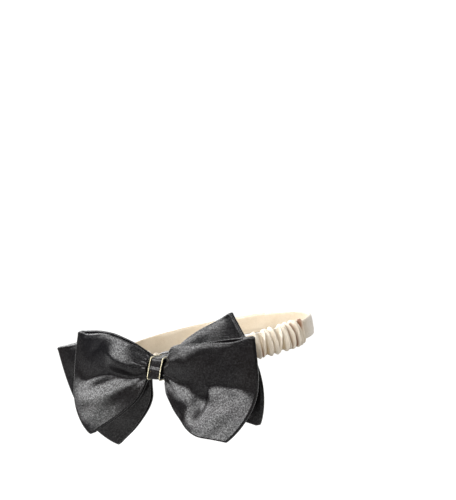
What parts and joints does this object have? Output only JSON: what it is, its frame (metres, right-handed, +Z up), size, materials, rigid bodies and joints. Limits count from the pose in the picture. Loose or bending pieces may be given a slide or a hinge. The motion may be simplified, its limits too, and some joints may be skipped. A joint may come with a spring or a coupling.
{
  "type": "pet bow tie collar",
  "caption": "Slip-on pet neck loop of ruched satin with a layered satin bow gathered by a banded knot at the throat.",
  "frame": {"origin": "centre of the neck loop, where the neck goes through", "axes": "+Z up as worn, -Y out through the bow at the throat, +Y to the nape, +X the side where the loop sits higher"},
  "size_m": [0.1562, 0.1613, 0.0932],
  "materials": {
    "black_satin": "satin",
    "gold_cord": "metallic thread",
    "champagne_satin": "satin"
  },
  "bodies": {
    "root": {"front_bow": "black_satin", "back_bow": "black_satin", "knot_band": "black_satin", "bow_keeper": "black_satin", "knot_trim_left": "gold_cord", "knot_trim_right": "gold_cord", "collar_ruched": "champagne_satin", "collar_plain": "champagne_satin"}
  },
  "joints": []
}
